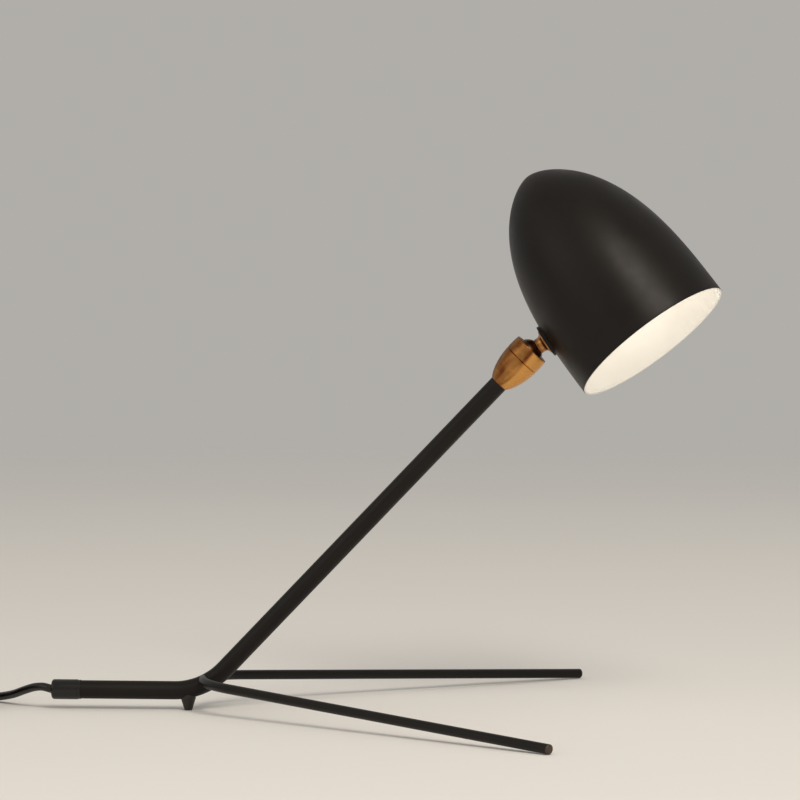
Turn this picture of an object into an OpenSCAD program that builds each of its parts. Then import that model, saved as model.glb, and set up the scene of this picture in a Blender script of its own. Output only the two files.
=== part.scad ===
// Tripod table lamp: one bent tube and two leg rods carry a pointed shade on a brass ball joint.
// Millimetres. +Z is up, +X runs from the foot peg towards the shade, -Y is the side that is seen.
// The origin is the middle of the foot peg's flat end, on the table.

/* [Stand tube] */
// Outer diameter of the bent tube
tube_d = 11; // [9:0.5:14]
// Wall of the bent tube
tube_wall = 1; // [0.8:0.1:1.4]
// Height of the level tube's centreline above the table
tube_z = 11.7; // [9.5:0.1:18]
// Level length of tube behind the corner of its two centrelines
rear_len = 74.3; // [60:0.1:110]
// Length of the arm from that corner to its top end
arm_len = 255; // [180:1:320]
// Angle of the arm above the table
arm_angle = 46.3; // [38:0.1:58]
// Radius of the bend, measured to the centreline
bend_r = 42; // [32:1:55]

/* [Legs and foot] */
// Diameter of a leg rod
leg_d = 5.8; // [5:0.1:7]
// Angle between each leg and the line of the arm, seen from above
leg_spread = 37.5; // [30:0.5:45]
// Radius of the curve at a leg's root
leg_root_r = 48; // [35:1:60]
// Straight length of a leg, with the plug in its end
leg_len = 250; // [180:1:300]
// Height of a leg's root at the bend
leg_root_z = 18.5; // [17.5:0.1:19.5]
// Length of the plug that shows at a leg's tip
tip_len = 1.1; // [0.9:0.1:4]
// Distance of the foot peg behind the corner of the tube
peg_back = 9.6; // [6:0.1:14]
// Diameter of the peg's flat end on the table
peg_tip_d = 4.4; // [3:0.1:6]
// Diameter of the peg where it meets the tube
peg_top_d = 9; // [7.5:0.1:10]
// Diameter of the peg's screw
peg_screw_d = 4; // [3:0.5:5]

/* [End bush] */
// Diameter of the bush on the tube's rear end
bush_d = 12; // [11.5:0.1:15]
// Length of the bush outside the tube
bush_len = 17.6; // [10:0.1:24]
// Length of the bush's spigot inside the tube
bush_spigot = 12; // [8:1:20]

/* [Brass socket] */
// Length of the brass socket from the arm's end to its mouth
socket_len = 28.6; // [26:0.2:32]
// Largest diameter of the socket
socket_d = 22.8; // [21.5:0.1:25]
// Diameter of the ball
ball_d = 17; // [15:0.1:17.6]
// Depth of the ball's centre below the mouth
ball_depth = 3.8; // [3.4:0.1:4.6]
// Distance from the seam between cup and collar to the mouth
collar_len = 9; // [8.4:0.1:9.6]
// Diameter of the threaded nipple
nipple_d = 8; // [7:0.1:8.6]

/* [Stem] */
// Distance from the ball's centre to the flange's face against the saddle washer
stem_len = 12.8; // [11.6:0.1:15]
// How far the stem leans below the line of the arm
stem_lean = 12.8; // [0:0.1:20]
// Diameter of the stem's neck
neck_d = 9.2; // [8.6:0.1:9.8]
// Diameter of the stem's flange
flange_d = 14.6; // [13:0.1:18]
// Thread diameter of the hollow stem
stem_thread_d = 10; // [9:0.1:11]
// Bore of the hollow stem
stem_bore = 4.4; // [4:0.1:5]
// Turn of the head about the stem, towards the seen side
head_turn = 12.8; // [0:0.1:30]

/* [Shade] */
// Outer diameter of the shade at its rim
shade_d = 100.7; // [90:0.1:115]
// Length of the shade from rim to nose
shade_h = 126; // [118:0.5:140]
// Wall of the shade
shade_wall = 1.2; // [0.8:0.1:1.6]
// How long the shade stays wide before it closes to the nose
shade_fullness = 3.01; // [2.8:0.01:3.6]
// How round the nose is
shade_nose = 1.57; // [1.35:0.01:1.6]
// Distance of the stem from the rim, along the shade
stem_station = 39.5; // [34:0.5:46]
// Diameter of the saddle washer outside the shade
saddle_d = 20; // [18:0.5:22]

/* [Lampholder and bulb] */
// Distance from the rim to the back of the lampholder
holder_back = 106; // [102:0.5:107]
// Length of the lampholder
holder_len = 40; // [38:0.5:42]
// Outer diameter of the lampholder
holder_d = 28; // [26:0.5:29]
// Diameter of the opal globe
globe_d = 45; // [40:0.5:47]
// Distance from the rim to the end of the globe
globe_inset = 17; // [12:0.5:20]
// Diameter of the bulb's screw cap
cap_d = 13.9; // [13.4:0.1:14]
// Width of the bracket strip
strip_w = 12; // [11:0.5:14]
// Thickness of the bracket strip
strip_t = 1.2; // [1:0.1:1.6]

/* [Cord] */
// Diameter of the cord
cord_d = 5; // [5:0.1:5.2]
// Diameter of the flex inside the lamp's head
flex_d = 3.6; // [3:0.1:3.8]

/* [Cord switch and plug] */
// Length of the switch housing
switch_len = 58; // [50:1:60]
// Width of the switch housing
switch_w = 24; // [22:0.5:28]
// Height of the switch housing
switch_h = 17; // [16:0.5:20]
// Tilt of the rocker to either side
rocker_tilt = 7; // [5:0.5:9]
// Length of the plug's body
plug_len = 36; // [32:1:40]
// Thickness of the plug's body
plug_t = 13.7; // [12:0.1:15]
// Distance between the plug's pins
pin_gap = 19; // [18.6:0.1:19.4]
// Diameter of a plug pin
pin_d = 4; // [3.8:0.1:4.4]
// Length of a plug pin outside the body
pin_len = 19; // [17:0.5:20]
// Length of the pin's insulated root outside the body
pin_root = 10; // [9:0.5:11]

/* [Hidden] */
$fn = 64;

black = "#1d1b1a";
gloss_black = "#121110";
brass = "#b98a4a";
dark_brass = "#4b3526";
steel = "#a9a9a6";
white = "#f1eee6";

fit = 0.05;      // radial clearance of a part that turns or screws in another
gap = 0.3;       // clearance between parts that only pass each other
eps = 0.01;      // a cut runs this far past the face it leaves
lap = 0.3;       // a straight length runs this far into the bend it joins
seam = 0.01;     // and is this much larger in radius there
past = 1;        // a bore runs this far past the end it opens

// Bent tube
tube_bore_r = tube_d / 2 - tube_wall;
corner_x = peg_back;
bend_back = bend_r * tan(arm_angle / 2);
rear_x = corner_x - rear_len;
// Height of the bend's centreline at a place x between its ends
function bend_z(x) = tube_z + bend_r - sqrt(bend_r * bend_r - pow(x - corner_x + bend_back, 2));

// Legs: each lies in a plane that slopes from its root down to the table
leg_reach = leg_root_r * (1 - sin(leg_spread)) + leg_len * cos(leg_spread);
leg_slope = asin((leg_root_z - leg_d / 2) / leg_reach);
tip_stem_d = leg_d / 2;
tip_stem_len = 7;
tip_round = 0.8;

// Foot peg
peg_chamfer = 0.5;
peg_screw_top = bend_z(0) - tube_bore_r + 1.3;

// Socket along the arm, measured from the arm's top end
socket_widest = 22 / 28.6 * socket_len;       // where the outline stops growing
socket_foot_r = tube_d / 2 + 0.1;
socket_curve = socket_widest / sqrt(1 - pow(socket_foot_r / (socket_d / 2), 2));
ball_at = socket_len - ball_depth;            // the ball's centre
seam_at = socket_len - collar_len;
cavity_r = ball_d / 2 + 0.4;
thread_r = cavity_r + 1.1;                    // thread between cup and collar
socket_clear = 0.15;                          // between ball and its brass seats
mouth_bevel = 1;
mouth_round = 0.5;                            // rounding of the mouth's outer edge
seam_groove = 0.35;                           // chamfer of cup and collar where they meet
cavity_floor = ball_at - ball_d / 2 - 3.6;
nipple_top = 9;
spring_t = 0.8;
seat_h = 4.6;
seat_low = cavity_floor + 2 * spring_t + 0.2;
seat_bore_r = 4.4;
thread_len = 4.2;
function socket_r(z) = socket_d / 2 * sqrt(1 - pow((z - socket_widest) / socket_curve, 2));

// Stem, measured from the ball's centre
shank_d = 7;
ball_flat = 7.2;
neck_low = ball_flat + gap;
flange_t = 0.8;
clip_t = 0.8;
clip_d = 10.2;
clip_recess_r = clip_d / 2 + gap;
clip_top = -5.8;
shank_low = clip_top - clip_t - 0.3;
washer_mid = 1.2;                             // saddle washer's thickness at its middle
wall_at = stem_len + washer_mid;              // outside of the shade
inner_flat = wall_at + shade_wall + 1.5;      // flat face of the inner washer
strip_at = inner_flat + strip_t;
nut_t = 4;
nut_flats = 14;
stem_top = strip_at + nut_t + 1;

// Shade, in its own frame: z from the rim to the nose, x towards the stem
function bell_r(z, r, h) = r * pow(max(0, 1 - pow(z / h, shade_fullness)), 1 / shade_nose);
bell_steps = 30;
function bell(r, h, first) =
  [for (i = [first:bell_steps]) let (z = h * sin(90 * i / bell_steps)) [bell_r(z, r, h), z]];
stem_r = bell_r(stem_station, shade_d / 2, shade_h);
wall_slope = atan(bell_r(stem_station - 0.5, shade_d / 2, shade_h)
                  - bell_r(stem_station + 0.5, shade_d / 2, shade_h));
// From the head's frame (x, z) to the shade's frame (radius, distance from the rim), and back
function to_shade(x, z) = [stem_r + x * sin(wall_slope) - (z - wall_at) * cos(wall_slope),
                           stem_station - x * cos(wall_slope) - (z - wall_at) * sin(wall_slope)];
function to_head(r, t) = [(r - stem_r) * sin(wall_slope) - (t - stem_station) * cos(wall_slope),
                          wall_at - (r - stem_r) * cos(wall_slope) - (t - stem_station) * sin(wall_slope)];

// Lampholder and bulb, in the shade's frame
holder_mouth = holder_back - holder_len;
globe_mid = globe_inset + globe_d / 2;
cap_low = holder_mouth + 2;
cap_len = 20;
tip_d = 6;
tip_h = 2.4;
thread_wall = 0.9;
holder_bore_r = cap_d / 2 + fit + thread_wall;
flex_bow_r = 36;                              // the flex bows out to here over the nut
flex_bow_t = 48;
flex_side_r = 19.6;                           // and comes in to the lampholder from here
flex_side_t = 15;
flex_end_r = 11.2;                            // and ends here, inside the lampholder
flex_end_t = 6.9;
flex_bow = [flex_bow_r, flex_bow_t];
flex_in = [flex_end_r, holder_back - flex_end_t];
flex_from = [flex_side_r, holder_back - flex_side_t];
flex_turn = atan2(flex_from[0] - flex_in[0], flex_from[1] - flex_in[1]);
screw_pitch_r = 7.5;
screw_d = 3;
strip_foot = 20;                              // flat of the bracket past the stem
strip_heel = 8;                               // and short of it
strip_turn = [15, holder_back + strip_t / 2];
strip_end = [-12, holder_back + strip_t / 2];

// Cord: points of the free stretches, chosen by hand, and the coil's measures
coil_mid = [-152, 7.3];
coil_r = 20;                                  // innermost turn
coil_pitch = cord_d + 0.5;
coil_layers = 4;
layer_turns = 2.3125;
coil_out = coil_r + coil_pitch * layer_turns;
coil_rings = 24;                              // rings in one turn
lay_z = cord_d / 2;
top_z = lay_z + coil_pitch * (coil_layers - 1);
coil_side = coil_mid[0] - coil_out;           // where the cord leaves the coil
switch_y = -26;
switch_mid_z = switch_h / 2;
switch_end_y = switch_y - switch_len;
plug_reach = 26;                              // free cord between switch and plug
plug_y = switch_end_y - plug_reach;
run_points = [[rear_x - bush_len, 0, tube_z], [-85, 0.3, 12.4], [-88.5, 1.8, 12.9], [-94, 5.5, 12.1],
              [-101, 11.3, 9.6], [-107.5, 18, 6.8], [-114, 25, 4.7], [-121, 31.5, 3.2], [-129, 36.8, 2.5],
              [-138, 39.4, 2.5], [coil_mid[0] + cord_d, coil_mid[1] + coil_out, lay_z]];
switch_points = [[coil_side, coil_mid[1] - cord_d, top_z], [coil_side, -3, 18.2], [coil_side, -9, 14.6],
                 [coil_side, -15.5, 10.8], [coil_side, -21, 8.8], [coil_side, switch_y, switch_mid_z],
                 [coil_side, switch_y - cord_d, switch_mid_z]];
plug_points = [[coil_side, switch_end_y + cord_d, switch_mid_z],
               [coil_side, switch_end_y, switch_mid_z], [coil_side, switch_end_y - plug_reach / 4, 8],
               [coil_side, switch_end_y - plug_reach / 2, 7.2], [coil_side, plug_y + plug_reach / 4, 6.8],
               [coil_side, plug_y, plug_t / 2]];

// Switch and plug
shell_t = 2;
rocker_l = 15;
rocker_w = 10;
axle_d = 2.4;
axle_z = switch_h - 4.2;
cheek_t = 1.6;
post_x = switch_len / 2 - 11;
post_d = 5.5;
sleeve_len = 22;
sleeve_d = 8.8;
pin_grip = 8;
pin_step = 0.2;                               // the insulated root is this much thinner in radius
pin_root_d = pin_d - 2 * pin_step;
plug_w = 35;
plug_neck_w = 14;

// ---------- places ----------

// Along the arm, a distance from the corner of the tube's centrelines
module along_arm(d) {
  translate([corner_x, 0, tube_z]) rotate([0, 90 - arm_angle, 0]) translate([0, 0, d]) children();
}

// The socket's frame: z = 0 on the arm's top end
module at_socket() {
  along_arm(arm_len) children();
}

// The head's frame: the ball's centre, z along the stem, x towards the shade's mouth
module in_head() {
  at_socket() translate([0, 0, ball_at]) rotate([0, stem_lean, 0]) rotate([0, 0, -head_turn]) children();
}

// The shade's frame: z from the rim to the nose, x towards the stem
module in_shade() {
  in_head() translate([0, 0, wall_at]) rotate([0, -90 - wall_slope, 0]) rotate([0, 0, 180])
    translate([-stem_r, 0, -stem_station]) children();
}

// A round bar along the tube's centreline, longer than the tube by these lengths at its two ends
module tube_path(r, back, up) {
  translate([rear_x - back, 0, tube_z]) rotate([0, 90, 0])
    cylinder(h = rear_len - bend_back + back + lap, r = r);
  translate([corner_x - bend_back, 0, tube_z + bend_r]) rotate([90, 0, 0])
    rotate_extrude(angle = arm_angle, start = 270) translate([bend_r, 0]) circle(r = r - seam);
  along_arm(bend_back - lap) cylinder(h = arm_len - bend_back + up + lap, r = r);
}

// A round tube swept along a list of points, as one closed skin
function unit(v) = v / norm(v);
function heading(p, i) = unit(p[min(i + 1, len(p) - 1)] - p[max(i - 1, 0)]);
function ring(c, dir, r, sides) =
  let (side = unit(cross(abs(dir[2]) > 0.9 ? [1, 0, 0] : [0, 0, 1], dir)), rise = cross(dir, side))
  [for (k = [0:sides - 1]) c + r * (cos(360 * k / sides) * side + sin(360 * k / sides) * rise)];
function square_on(p, i, first, last) = i == 0 ? first : i == len(p) - 1 ? last : heading(p, i);

module swept(p, d, sides, first, last) {
  n = len(p);
  skin = [for (i = [0:n - 1]) each ring(p[i], square_on(p, i, first, last), d / 2, sides)];
  walls = [for (i = [0:n - 2], k = [0:sides - 1])
           let (a = i * sides + k, b = i * sides + (k + 1) % sides)
           each [[a, a + sides, b], [b, a + sides, b + sides]]];
  caps = [[for (k = [0:sides - 1]) k], [for (k = [sides - 1:-1:0]) (n - 1) * sides + k]];
  polyhedron(points = skin, faces = concat(caps, walls), convexity = 6);
}

// ---------- stand ----------

module stand_tube() color(black) difference() {
  tube_path(tube_d / 2, 0, 0);
  tube_path(tube_bore_r, past, past);
  cylinder(h = bend_z(0), d = peg_screw_d + 2 * fit);
}

module leg_plane() {
  translate([corner_x, 0, leg_root_z]) rotate([0, leg_slope, 0]) children();
}

// The leg's straight part, z along it from the end of the root curve
module leg_line() {
  leg_plane() translate([leg_root_r * (1 - sin(leg_spread)), leg_root_r * cos(leg_spread), 0])
    rotate([0, 0, leg_spread]) rotate([0, 90, 0]) children();
}

module leg() difference() {
  union() {
    leg_plane() translate([leg_root_r, 0, 0])
      rotate_extrude(angle = 90 - leg_spread, start = 90 + leg_spread)
        translate([leg_root_r, 0]) circle(r = leg_d / 2 - seam);
    leg_line() translate([0, 0, -lap]) cylinder(h = leg_len - tip_len + lap, d = leg_d);
  }
  tube_path(tube_d / 2, 0, 0);
  leg_line() translate([0, 0, leg_len - tip_len - tip_stem_len])
    cylinder(h = tip_stem_len + past, d = tip_stem_d);
}

module leg_left() color(black) leg();

module leg_right() color(black) mirror([0, 1, 0]) leg();

// A disc with a rounded front edge
module rounded_end(r, h, f) rotate_extrude() {
  square([r - f, h]);
  square([r, h - f]);
  translate([r - f, h - f]) circle(r = f);
}

module leg_tip() leg_line() {
  translate([0, 0, leg_len - tip_len]) rounded_end(leg_d / 2, tip_len, tip_round);
  translate([0, 0, leg_len - tip_len - tip_stem_len]) cylinder(h = tip_stem_len, d = tip_stem_d);
}

module leg_tips() color("#2e2620") {
  leg_tip();
  mirror([0, 1, 0]) leg_tip();
}

module foot_peg() color(black) {
  difference() {
    rotate_extrude() polygon([[0, 0], [peg_tip_d / 2, 0], [peg_tip_d / 2 + peg_chamfer / 2, peg_chamfer],
                              [peg_top_d / 2, bend_z(0) - tube_d / 2],
                              [peg_top_d / 2, bend_z(0) - tube_d / 4], [0, bend_z(0) - tube_d / 4]]);
    tube_path(tube_d / 2, 0, 0);
  }
  translate([0, 0, bend_z(0) - tube_d / 2 - past])
    cylinder(h = peg_screw_top - bend_z(0) + tube_d / 2 + past, d = peg_screw_d);
}

// The bush's frame: z from the tube's rear end outwards
module at_bush() {
  translate([rear_x, 0, tube_z]) rotate([0, -90, 0]) children();
}

module end_bush() {
  ring_len = 2;
  ring_in = 0.25;
  lip = 1.6;
  color(gloss_black) at_bush() difference() {
    rotate_extrude() {
      translate([0, -bush_spigot]) square([tube_bore_r, bush_spigot + eps]);
      square([bush_d / 2 - ring_in, ring_len]);
      translate([0, ring_len]) square([bush_d / 2, bush_len - ring_len - lip]);
      square([bush_d / 2 - lip, bush_len]);
      translate([bush_d / 2 - lip, bush_len - lip]) circle(r = lip);
    }
    translate([0, 0, -bush_spigot - past])
      cylinder(h = bush_spigot + bush_len + 2 * past, d = cord_d + 2 * fit);
  }
}

module cord_grip() {
  grip_len = 9;
  slot = 0.8;
  color(white) at_bush() translate([0, 0, -bush_spigot - grip_len]) difference() {
    cylinder(h = grip_len, r = tube_bore_r);
    translate([0, 0, -past]) cylinder(h = grip_len + 2 * past, d = cord_d + 2 * fit);
    translate([0, -slot / 2, -past]) cube([tube_d, slot, grip_len + 2 * past]);
  }
}

module tube_flex() color(gloss_black) tube_path(cord_d / 2, bush_len, cavity_floor + 1);

// ---------- socket and ball joint ----------

module arm_nipple() {
  grip_len = 14;
  color(steel) at_socket() difference() {
    union() {
      translate([0, 0, -grip_len]) cylinder(h = grip_len, r = tube_bore_r);
      cylinder(h = nipple_top, d = nipple_d);
    }
    translate([0, 0, -grip_len - past])
      cylinder(h = grip_len + nipple_top + 2 * past, d = cord_d + 4 * fit);
  }
}

// Outline of the socket's outside between two heights
function socket_side(z0, z1, steps) =
  [for (i = [0:steps]) let (z = z0 + (z1 - z0) * i / steps) [socket_r(z), z]];

module socket_cup() {
  color(brass) at_socket() difference() {
    union() {
      rotate_extrude() polygon(concat([[0, 0]], socket_side(0, seam_at - seam_groove, 16),
                                      [[socket_r(seam_at) - seam_groove, seam_at], [0, seam_at]]));
      translate([0, 0, seam_at - 1]) cylinder(h = 1 + thread_len, r = thread_r);
    }
    translate([0, 0, -past]) cylinder(h = nipple_top + past, d = nipple_d);
    cylinder(h = seam_at, d = cord_d + 4 * fit);
    translate([0, 0, cavity_floor]) cylinder(h = seam_at + thread_len, r = cavity_r);
  }
}

module socket_collar() {
  shoulder = socket_len - mouth_round;
  edge = [for (a = [30, 60, 90])
          [socket_r(shoulder) - mouth_round * (1 - cos(a)), shoulder + mouth_round * sin(a)]];
  color(brass) at_socket() difference() {
    rotate_extrude() polygon(concat([[0, seam_at], [socket_r(seam_at) - seam_groove, seam_at]],
                                    socket_side(seam_at + seam_groove, shoulder, 8), edge,
                                    [[0, socket_len]]));
    translate([0, 0, seam_at - eps]) cylinder(h = thread_len + eps, r = thread_r);
    translate([0, 0, seam_at]) cylinder(h = ball_at - seam_at, r = ball_d / 2 + socket_clear);
    translate([0, 0, ball_at]) sphere(d = ball_d + 2 * socket_clear);
    translate([0, 0, socket_len - mouth_bevel])
      cylinder(h = mouth_bevel + eps, r2 = socket_d / 2 - 1.9,
               r1 = sqrt(pow(ball_d / 2 + socket_clear, 2) - pow(ball_depth - mouth_bevel, 2)));
  }
}

module seat_spring() {
  color(steel) at_socket() translate([0, 0, cavity_floor]) rotate_extrude()
    polygon([[cavity_r - 0.2, 0], [cavity_r - 0.2, spring_t], [seat_bore_r + 0.4, 2 * spring_t],
             [seat_bore_r + 0.4, spring_t]]);
}

module ball_seat() {
  color(dark_brass) at_socket() difference() {
    translate([0, 0, seat_low]) cylinder(h = seat_h, r = cavity_r - 0.1);
    translate([0, 0, ball_at]) sphere(d = ball_d + 2 * socket_clear);
    translate([0, 0, seat_low - past]) cylinder(h = seat_h + 2 * past, r = seat_bore_r);
  }
}

module ball() {
  color(dark_brass) in_head() difference() {
    intersection() {
      sphere(d = ball_d);
      translate([0, 0, -ball_d]) cylinder(h = ball_d + ball_flat, r = ball_d);
    }
    translate([0, 0, -ball_d]) cylinder(h = 2 * ball_d, d = shank_d + 2 * fit);
    translate([0, 0, -ball_d]) cylinder(h = ball_d + clip_top, r = clip_recess_r);
  }
}

module ball_stem() {
  flare_low = 9;
  flare_r = (flange_d - neck_d) / 2;
  edge_low = stem_len - flange_t;
  color(brass) in_head() difference() {
    rotate_extrude() {
      translate([0, shank_low]) square([shank_d / 2, neck_low - shank_low]);
      translate([0, neck_low]) square([neck_d / 2, edge_low - neck_low]);
      difference() {
        translate([0, edge_low - flare_r]) square([flange_d / 2, flare_r]);
        translate([flange_d / 2, edge_low - flare_r]) circle(r = flare_r);
      }
      translate([0, edge_low]) square([flange_d / 2, flange_t]);
      translate([0, stem_len]) square([stem_thread_d / 2, stem_top - stem_len]);
    }
    translate([0, 0, shank_low - past]) cylinder(h = stem_top - shank_low + 2 * past, d = stem_bore);
  }
}

module stem_clip() {
  slot = 3;
  color(steel) in_head() translate([0, 0, clip_top - clip_t - 0.1]) difference() {
    cylinder(h = clip_t, d = clip_d);
    translate([0, 0, -past]) cylinder(h = clip_t + 2 * past, d = shank_d);
    translate([0, -slot / 2, -past]) cube([clip_d, slot, clip_t + 2 * past]);
  }
}

// ---------- shade ----------

module bell_solid(less) rotate_extrude($fn = 240)
  polygon(concat([[0, 0]], bell(shade_d / 2 - less, shade_h - less, 0)));

module saddle_washer() {
  color(black) difference() {
    in_head() translate([0, 0, stem_len]) difference() {
      cylinder(h = washer_mid + 2, d = saddle_d);
      translate([0, 0, -past]) cylinder(h = washer_mid + 2 + 2 * past, d = stem_thread_d + 2 * fit);
    }
    in_shade() bell_solid(0);
  }
}

module shade() {
  lip = shade_wall / 2;
  outer = bell_r(lip, shade_d / 2, shade_h);
  inner = bell_r(lip, shade_d / 2 - shade_wall, shade_h - shade_wall);
  rim = [for (a = [180:-30:0]) [(outer + inner) / 2 + (outer - inner) / 2 * cos(a), lip - lip * sin(a)]];
  inside = bell(shade_d / 2 - shade_wall, shade_h - shade_wall, 1);
  color(black) difference() {
    in_shade() rotate_extrude()
      polygon(concat(rim, bell(shade_d / 2, shade_h, 1), [for (i = [len(inside) - 1:-1:0]) inside[i]]));
    in_head() translate([0, 0, stem_len - past])
      cylinder(h = stem_top - stem_len, d = stem_thread_d + 2 * fit);
  }
}

module inner_washer() {
  washer_d = 17;
  color(steel) intersection() {
    in_head() translate([0, 0, wall_at]) difference() {
      cylinder(h = inner_flat - wall_at, d = washer_d);
      translate([0, 0, -past]) cylinder(h = inner_flat, d = stem_thread_d + 2 * fit);
    }
    in_shade() bell_solid(shade_wall);
  }
}

module stem_nut() {
  color(steel) in_head() translate([0, 0, strip_at]) difference() {
    cylinder(h = nut_t, r = nut_flats / 2 / cos(30), $fn = 6);
    translate([0, 0, -past]) cylinder(h = nut_t + 2 * past, d = stem_thread_d);
  }
}

// Outline of a strip bent along points, with mitred corners
function bend_at(p, i) =
  let (a = unit(p[max(i, 1)] - p[max(i, 1) - 1]), b = unit(p[min(i, len(p) - 2) + 1] - p[min(i, len(p) - 2)]),
       m = unit([-a[1] - b[1], a[0] + b[0]]))
  m / (m[1] * a[0] - m[0] * a[1]);
function strip_outline(p, t) = concat([for (i = [0:len(p) - 1]) p[i] + bend_at(p, i) * t / 2],
                                      [for (i = [len(p) - 1:-1:0]) p[i] - bend_at(p, i) * t / 2]);

module holder_bracket() {
  heel = to_shade(strip_heel, inner_flat + strip_t / 2);
  foot = to_shade(-strip_foot, inner_flat + strip_t / 2);
  color(steel) difference() {
    in_shade() rotate([90, 0, 0]) linear_extrude(strip_w, center = true)
      polygon(strip_outline([heel, foot, strip_turn, strip_end], strip_t));
    in_head() translate([0, 0, inner_flat - past])
      cylinder(h = strip_t + 2 * past, d = stem_thread_d + 2 * fit);
    in_shade() for (side = [-1, 1]) translate([side * screw_pitch_r, 0, holder_back - past])
      cylinder(h = strip_t + 2 * past, d = screw_d + 2 * fit);
  }
}

module bracket_screws() {
  head_h = 1.8;
  head_d = 5.4;
  grip = 6;
  drive = 0.8;
  color(steel) in_shade() for (side = [-1, 1])
    translate([side * screw_pitch_r, 0, holder_back]) difference() {
      union() {
        translate([0, 0, -grip]) cylinder(h = grip + strip_t, d = screw_d);
        translate([0, 0, strip_t]) cylinder(h = head_h, d = head_d);
      }
      translate([-head_d, -drive / 2, strip_t + head_h - drive]) cube([2 * head_d, drive, 2 * drive]);
    }
}

// ---------- lampholder and bulb ----------

module lampholder() {
  collar = 3;
  collar_in = 1.2;
  shoulder = 14;
  back_r = 10.5;
  floor_at = cap_low + cap_len + 4.4;
  color("#24201d") in_shade() difference() {
    rotate_extrude() polygon([[0, holder_mouth], [holder_d / 2, holder_mouth],
                              [holder_d / 2, holder_mouth + collar],
                              [holder_d / 2 - collar_in, holder_mouth + collar],
                              [holder_d / 2 - collar_in, holder_back - shoulder],
                              [back_r, holder_back - 3], [back_r, holder_back], [0, holder_back]]);
    translate([0, 0, holder_mouth - past]) cylinder(h = floor_at - holder_mouth + past, r = holder_bore_r);
    for (side = [-1, 1]) translate([side * screw_pitch_r, 0, holder_back - 6])
      cylinder(h = 6 + past, d = screw_d);
    translate([flex_in[0], 0, flex_in[1]]) rotate([0, flex_turn, 0])
      cylinder(h = 12, d = flex_d + 2 * fit);
  }
}

module holder_thread() {
  color(brass) in_shade() translate([0, 0, cap_low]) difference() {
    cylinder(h = cap_len, r = holder_bore_r);
    translate([0, 0, -past]) cylinder(h = cap_len + 2 * past, r = holder_bore_r - thread_wall);
  }
}

module holder_contact() {
  foot = 1.2;
  color(brass) in_shade() translate([0, 0, cap_low + cap_len + tip_h]) {
    cylinder(h = 2, d = tip_d / 2);
    translate([-tip_d, -tip_d / 4, 2 - foot]) cube([2 * tip_d, tip_d / 2, foot]);
  }
}

module bulb_cap() {
  ridges = 5;
  ridge = 0.5;
  color(steel) in_shade() {
    translate([0, 0, cap_low]) cylinder(h = cap_len - 3, r = cap_d / 2 - ridge);
    for (i = [0:ridges - 1]) translate([0, 0, cap_low + 3 + 2.8 * i])
      rotate_extrude() translate([cap_d / 2 - ridge, 0]) circle(r = ridge);
    translate([0, 0, cap_low + cap_len - 3]) cylinder(h = 3, r1 = cap_d / 2 - ridge, r2 = tip_d / 2);
    translate([0, 0, cap_low + cap_len]) cylinder(h = tip_h, d = tip_d);
  }
}

// Outline of the glass, this much inside its outer face
module globe_outline(less) {
  neck_r = 8.2;
  meet = 40;                                  // angle on the globe where the neck starts
  r = globe_d / 2 - less;
  low = cap_low + (less > 0 ? past : 0);
  intersection() {
    translate([0, globe_mid]) circle(r = r);
    translate([0, globe_mid - globe_d]) square([globe_d, 2 * globe_d]);
  }
  polygon([[0, globe_mid], [r * cos(meet), globe_mid + r * sin(meet)], [neck_r + 1.2 - less, cap_low - 6],
           [neck_r - less, cap_low - 3], [neck_r - 1 - less, cap_low], [neck_r - 1 - less, low], [0, low]]);
}

module bulb_globe() {
  glass = 0.9;
  color(white) in_shade() rotate_extrude() difference() {
    globe_outline(0);
    globe_outline(glass);
  }
}

module head_flex() {
  low = shank_low + 0.3;
  lean = 1.5;
  rise = 4;
  down = [for (f = [0, 1 / 3, 2 / 3, 1]) flex_bow * (1 - f) + flex_from * f];
  inside = [for (q = concat(down, [flex_in])) to_head(q[0], q[1])];
  path = concat([[0, 0, low], [0, 0, ball_flat / 2], [0, 0, stem_len], [0, 0, stem_top],
                 [-lean, 0, stem_top + rise]], [for (q = inside) [q[0], 0, q[1]]]);
  color(black) in_head() swept(path, flex_d, 8, [0, 0, 1], unit(path[9] - path[8]));
}

// ---------- cord, switch and plug ----------

module cord_run() color(gloss_black) swept(run_points, cord_d, 8, [-1, 0, 0], [-1, 0, 0]);

// The coil's centreline: it spirals in, climbs a layer in the half turn where it reverses, and spirals out
coil_turns = coil_layers * layer_turns;
function fold_at(u) = let (m = u / layer_turns, k = floor(m)) k % 2 == 0 ? m - k : 1 - (m - k);
function layer_at(u) = let (k = floor(u / layer_turns + 0.5), v = (u - k * layer_turns) / 0.5 + 0.5,
                            w = max(0, min(1, v)))
  k <= 0 ? 0 : k >= coil_layers ? coil_layers - 1 : k - 1 + w * w * (3 - 2 * w);
function coil_point(u) =
  let (r = coil_out - (coil_out - coil_r) * fold_at(u), a = 90 + 360 * u)
  [coil_mid[0] + r * cos(a), coil_mid[1] + r * sin(a), lay_z + coil_pitch * layer_at(u)];
coil_count = round(coil_turns * coil_rings);
coil_line = concat([[coil_mid[0] + cord_d, coil_mid[1] + coil_out, lay_z]],
                   [for (i = [0:coil_count]) coil_point(coil_turns * i / coil_count)],
                   [[coil_side, coil_mid[1] - cord_d, top_z]]);
// Least distance between parts of the coil that are at least half a turn apart, less the cord's diameter
coil_gap = min([for (i = [0:len(coil_line) - 1], j = [i + coil_rings / 2:1:len(coil_line) - 1])
                norm(coil_line[i] - coil_line[j])]) - cord_d;
echo(least_gap_of_the_coil_to_itself = coil_gap);

module cord_coil() color(gloss_black) swept(coil_line, cord_d, 6, [-1, 0, 0], [0, -1, 0]);

module cord_to_switch() color(gloss_black) swept(switch_points, cord_d, 8, [0, -1, 0], [0, -1, 0]);

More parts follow.
